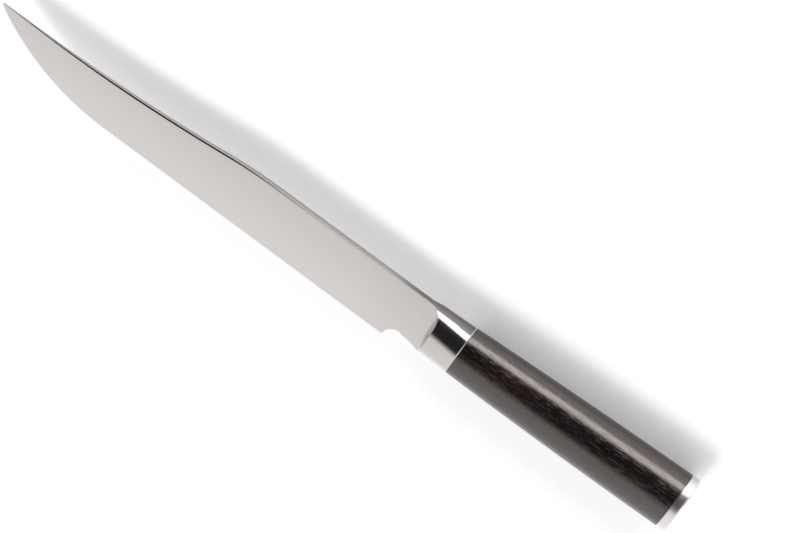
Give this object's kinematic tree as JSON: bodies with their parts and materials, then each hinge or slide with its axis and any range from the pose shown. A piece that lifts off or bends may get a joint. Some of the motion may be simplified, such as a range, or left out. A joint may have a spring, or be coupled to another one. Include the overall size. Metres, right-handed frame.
{
  "type": "carving knife",
  "caption": "Carving knife with a long narrow steel blade, hollow-ground bolster, oval dark wooden grip and steel end cap.",
  "frame": {"origin": "centre of the bounding box in X and Y, on the surface the knife lies on", "axes": "+X from the tip to the butt, +Y from the cutting edge to the spine, +Z out of the blade's left face"},
  "size_m": [0.3434, 0.0355, 0.0218],
  "materials": {
    "blade_steel": "satin, finely ground",
    "fitting_steel": "polished with a fine satin haze",
    "tang_steel": "plain rolled",
    "grip_wood": "near-black, fine lengthwise grain, satin",
    "adhesive": "set adhesive"
  },
  "bodies": {
    "root": {"blade": "blade_steel", "bolster": "fitting_steel", "tang": "tang_steel", "grip": "grip_wood", "bedding": "adhesive", "cap_stud": "tang_steel", "end_cap": "fitting_steel"}
  },
  "joints": []
}
